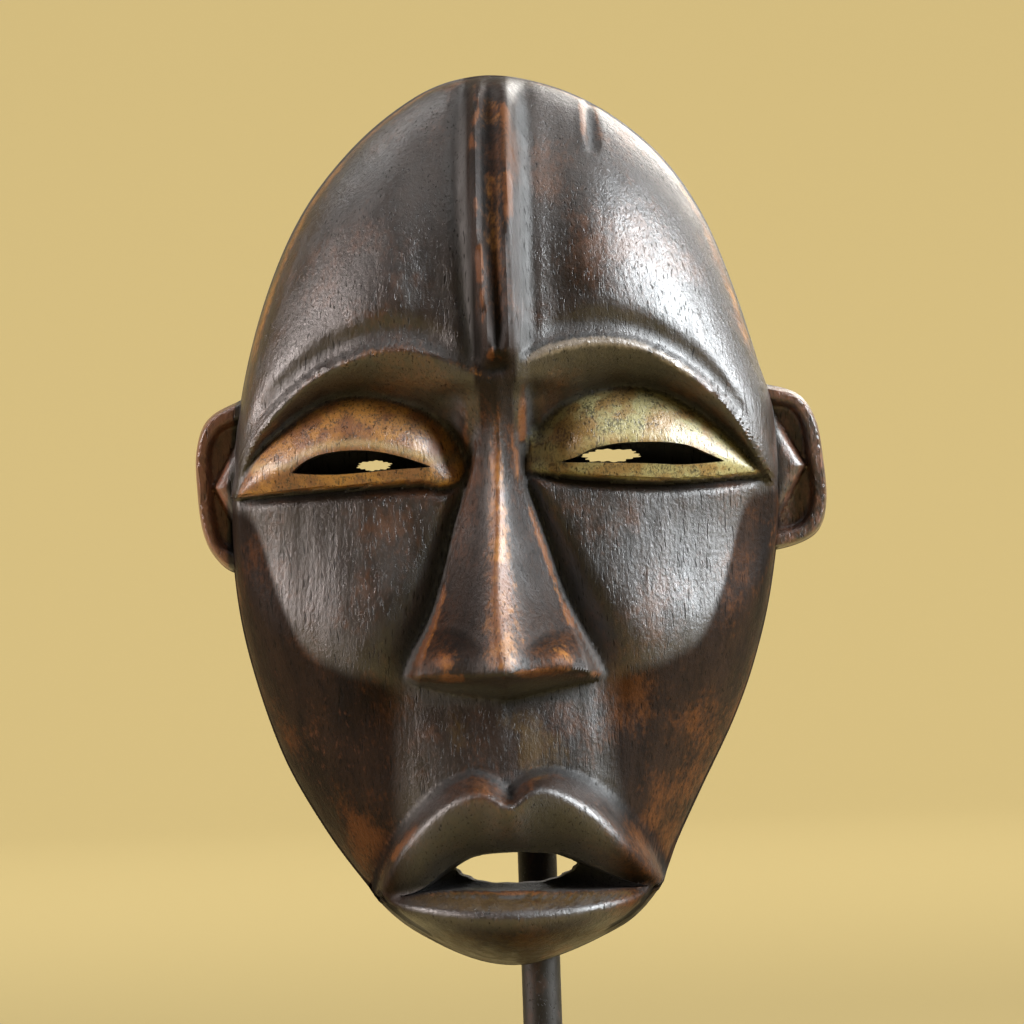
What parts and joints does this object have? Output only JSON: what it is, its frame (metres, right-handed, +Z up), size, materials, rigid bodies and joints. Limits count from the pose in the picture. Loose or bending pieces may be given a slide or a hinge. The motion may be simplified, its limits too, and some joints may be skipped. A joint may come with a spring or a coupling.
{
  "type": "carved wooden face mask on a display stand",
  "caption": "Carved dark wooden face mask with painted half-closed eyes, hung on a steel post with a hook and padded cross arm, on a hardwood base.",
  "frame": {"origin": "centre of the base's underside", "axes": "+Z up along the post; the face looks towards -Y; +X is to the viewer's right as the face is seen from the front"},
  "size_m": [0.1772, 0.1236, 0.3596],
  "materials": {
    "carved_mask": "dark stained hardwood, semi-gloss, worn red-brown on the edges, ochre on the lids",
    "base_block": "ebonised hardwood, satin",
    "base_felt": "black felt",
    "post_socket": "blackened steel",
    "set_screw": "black oxide",
    "socket_washer": "zinc plated",
    "socket_nut": "zinc plated",
    "post": "dark patinated steel with small rust specks",
    "hanger_hook": "dark patinated steel",
    "hook_sleeve": "black rubber",
    "cross_arm": "dark patinated steel",
    "arm_screw": "black oxide",
    "arm_pad_left": "black rubber",
    "arm_pad_right": "black rubber",
    "chin_sleeve": "black rubber"
  },
  "bodies": {
    "base": {"base_block": "base_block", "base_felt": "base_felt", "post_socket": "post_socket", "set_screw": "set_screw", "socket_washer": "socket_washer", "socket_nut": "socket_nut"},
    "armature": {"post": "post", "hanger_hook": "hanger_hook", "hook_sleeve": "hook_sleeve", "cross_arm": "cross_arm", "arm_screw": "arm_screw", "arm_pad_left": "arm_pad_left", "arm_pad_right": "arm_pad_right", "chin_sleeve": "chin_sleeve"},
    "mask": {"carved_mask": "carved_mask"}
  },
  "joints": [
    {"name": "post_turn", "type": "hinge", "parent": "base", "child": "armature", "pos_m": [0, 0.018, 0.03], "axis": [0, 0, 1], "continuous": true},
    {"name": "mask_lift", "type": "slide", "parent": "armature", "child": "mask", "axis": [0, -0.8, 0.6], "range_m": [0, 0.09]}
  ]
}
